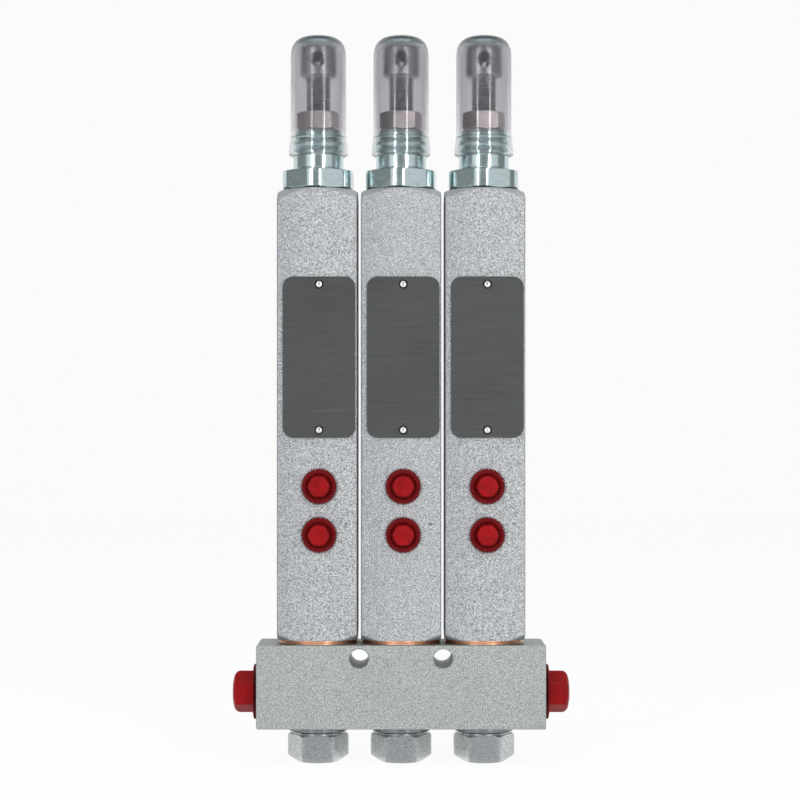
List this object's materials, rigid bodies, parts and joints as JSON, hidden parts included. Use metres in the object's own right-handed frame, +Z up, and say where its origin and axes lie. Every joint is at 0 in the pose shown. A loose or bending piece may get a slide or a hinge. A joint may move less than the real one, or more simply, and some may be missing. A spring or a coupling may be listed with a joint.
{
  "type": "grease injector manifold",
  "caption": "Square grease metering injectors side by side on a square manifold bar, with clear indicator caps, bare plates, red outlet and inlet plugs and hollow adaptor bolts.",
  "frame": {"origin": "centre of the manifold bar's back face, the face that bolts to a machine", "axes": "+X along the bar, +Z up the injectors' axes, front with the plates and outlets looks along -Y"},
  "size_m": [0.129, 0.0376, 0.2781],
  "materials": {
    "body_steel": "blasted and zinc plated",
    "manifold_steel": "milled and zinc plated",
    "bright_zinc": "turned, bright zinc plated",
    "bolt_zinc": "turned, zinc plated",
    "screw_steel": "dark zinc plated",
    "bare_steel": "bare, turned or drawn",
    "copper": "bare copper",
    "washer_steel": "dark, oiled",
    "plate_grey": "grey, satin",
    "pin_aluminium": "bright",
    "red_plastic": "moulded, satin",
    "clear_plastic": "clear, slightly hazy",
    "packing_rubber": "matt"
  },
  "bodies": {
    "assembly": {"manifold": "manifold_steel", "injector_body_1": "body_steel", "stop_plug_1": "bright_zinc", "stop_plug_gasket_1": "packing_rubber", "spring_1": "bare_steel", "spring_seat_1": "bare_steel", "name_plate_1": "plate_grey", "plate_pin_upper_1": "pin_aluminium", "plate_pin_lower_1": "pin_aluminium", "manifold_gasket_1": "copper", "adaptor_bolt_1": "bolt_zinc", "bolt_washer_1": "washer_steel", "injector_body_2": "body_steel", "stop_plug_2": "bright_zinc", "stop_plug_gasket_2": "packing_rubber", "spring_2": "bare_steel", "spring_seat_2": "bare_steel", "name_plate_2": "plate_grey", "plate_pin_upper_2": "pin_aluminium", "plate_pin_lower_2": "pin_aluminium", "manifold_gasket_2": "copper", "adaptor_bolt_2": "bolt_zinc", "bolt_washer_2": "washer_steel", "injector_body_3": "body_steel", "stop_plug_3": "bright_zinc", "stop_plug_gasket_3": "packing_rubber", "spring_3": "bare_steel", "spring_seat_3": "bare_steel", "name_plate_3": "plate_grey", "plate_pin_upper_3": "pin_aluminium", "plate_pin_lower_3": "pin_aluminium", "manifold_gasket_3": "copper", "adaptor_bolt_3": "bolt_zinc", "bolt_washer_3": "washer_steel"},
    "cap_1": {"clear_cap_1": "clear_plastic"},
    "nut_1": {"lock_nut_1": "bare_steel"},
    "screw_1": {"adjusting_screw_1": "screw_steel"},
    "plunger_1": {"piston_1": "bare_steel", "piston_packing_1": "packing_rubber"},
    "valve_1": {"slide_valve_1": "bare_steel"},
    "upper_plug_1": {"outlet_plug_upper_1": "red_plastic"},
    "lower_plug_1": {"outlet_plug_lower_1": "red_plastic"},
    "cap_2": {"clear_cap_2": "clear_plastic"},
    "nut_2": {"lock_nut_2": "bare_steel"},
    "screw_2": {"adjusting_screw_2": "screw_steel"},
    "plunger_2": {"piston_2": "bare_steel", "piston_packing_2": "packing_rubber"},
    "valve_2": {"slide_valve_2": "bare_steel"},
    "upper_plug_2": {"outlet_plug_upper_2": "red_plastic"},
    "lower_plug_2": {"outlet_plug_lower_2": "red_plastic"},
    "cap_3": {"clear_cap_3": "clear_plastic"},
    "nut_3": {"lock_nut_3": "bare_steel"},
    "screw_3": {"adjusting_screw_3": "screw_steel"},
    "plunger_3": {"piston_3": "bare_steel", "piston_packing_3": "packing_rubber"},
    "valve_3": {"slide_valve_3": "bare_steel"},
    "upper_plug_3": {"outlet_plug_upper_3": "red_plastic"},
    "lower_plug_3": {"outlet_plug_lower_3": "red_plastic"},
    "left_plug": {"inlet_plug_left": "red_plastic"},
    "right_plug": {"inlet_plug_right": "red_plastic"}
  },
  "joints": [
    {"name": "cap_lift_1", "type": "slide", "parent": "assembly", "child": "cap_1", "axis": [0, 0, 1], "range_m": [0, 0.047]},
    {"name": "lock_nut_turn_1", "type": "hinge", "parent": "assembly", "child": "nut_1", "pos_m": [-0.03175, -0.01588, 0.2155], "axis": [0, 0, 1], "range_deg": [0, 60]},
    {"name": "stroke_adjust_1", "type": "slide", "parent": "assembly", "child": "screw_1", "axis": [0, 0, 1], "range_m": [-0.008, 0]},
    {"name": "piston_stroke_1", "type": "slide", "parent": "screw_1", "child": "plunger_1", "axis": [0, 0, 1], "range_m": [-0.0095, 0], "stiffness_N_per_m": 2000, "springref_m": 0.02, "deforming": ["spring_1"]},
    {"name": "valve_slide_1", "type": "slide", "parent": "assembly", "child": "valve_1", "axis": [0, 0, 1], "range_m": [0, 0.003]},
    {"name": "upper_outlet_plug_pull_1", "type": "slide", "parent": "assembly", "child": "upper_plug_1", "axis": [0, -1, 0], "range_m": [0, 0.012]},
    {"name": "lower_outlet_plug_pull_1", "type": "slide", "parent": "assembly", "child": "lower_plug_1", "axis": [0, -1, 0], "range_m": [0, 0.012]},
    {"name": "cap_lift_2", "type": "slide", "parent": "assembly", "child": "cap_2", "axis": [0, 0, 1], "range_m": [0, 0.047]},
    {"name": "lock_nut_turn_2", "type": "hinge", "parent": "assembly", "child": "nut_2", "pos_m": [0, -0.01588, 0.2155], "axis": [0, 0, 1], "range_deg": [0, 60]},
    {"name": "stroke_adjust_2", "type": "slide", "parent": "assembly", "child": "screw_2", "axis": [0, 0, 1], "range_m": [-0.008, 0]},
    {"name": "piston_stroke_2", "type": "slide", "parent": "screw_2", "child": "plunger_2", "axis": [0, 0, 1], "range_m": [-0.0095, 0], "stiffness_N_per_m": 2000, "springref_m": 0.02, "deforming": ["spring_2"]},
    {"name": "valve_slide_2", "type": "slide", "parent": "assembly", "child": "valve_2", "axis": [0, 0, 1], "range_m": [0, 0.003]},
    {"name": "upper_outlet_plug_pull_2", "type": "slide", "parent": "assembly", "child": "upper_plug_2", "axis": [0, -1, 0], "range_m": [0, 0.012]},
    {"name": "lower_outlet_plug_pull_2", "type": "slide", "parent": "assembly", "child": "lower_plug_2", "axis": [0, -1, 0], "range_m": [0, 0.012]},
    {"name": "cap_lift_3", "type": "slide", "parent": "assembly", "child": "cap_3", "axis": [0, 0, 1], "range_m": [0, 0.047]},
    {"name": "lock_nut_turn_3", "type": "hinge", "parent": "assembly", "child": "nut_3", "pos_m": [0.03175, -0.01588, 0.2155], "axis": [0, 0, 1], "range_deg": [0, 60]},
    {"name": "stroke_adjust_3", "type": "slide", "parent": "assembly", "child": "screw_3", "axis": [0, 0, 1], "range_m": [-0.008, 0]},
    {"name": "piston_stroke_3", "type": "slide", "parent": "screw_3", "child": "plunger_3", "axis": [0, 0, 1], "range_m": [-0.0095, 0], "stiffness_N_per_m": 2000, "springref_m": 0.02, "deforming": ["spring_3"]},
    {"name": "valve_slide_3", "type": "slide", "parent": "assembly", "child": "valve_3", "axis": [0, 0, 1], "range_m": [0, 0.003]},
    {"name": "upper_outlet_plug_pull_3", "type": "slide", "parent": "assembly", "child": "upper_plug_3", "axis": [0, -1, 0], "range_m": [0, 0.012]},
    {"name": "lower_outlet_plug_pull_3", "type": "slide", "parent": "assembly", "child": "lower_plug_3", "axis": [0, -1, 0], "range_m": [0, 0.012]},
    {"name": "left_inlet_plug_pull", "type": "slide", "parent": "assembly", "child": "left_plug", "axis": [-1, 0, 0], "range_m": [0, 0.014]},
    {"name": "right_inlet_plug_pull", "type": "slide", "parent": "assembly", "child": "right_plug", "axis": [1, 0, 0], "range_m": [0, 0.014]}
  ]
}
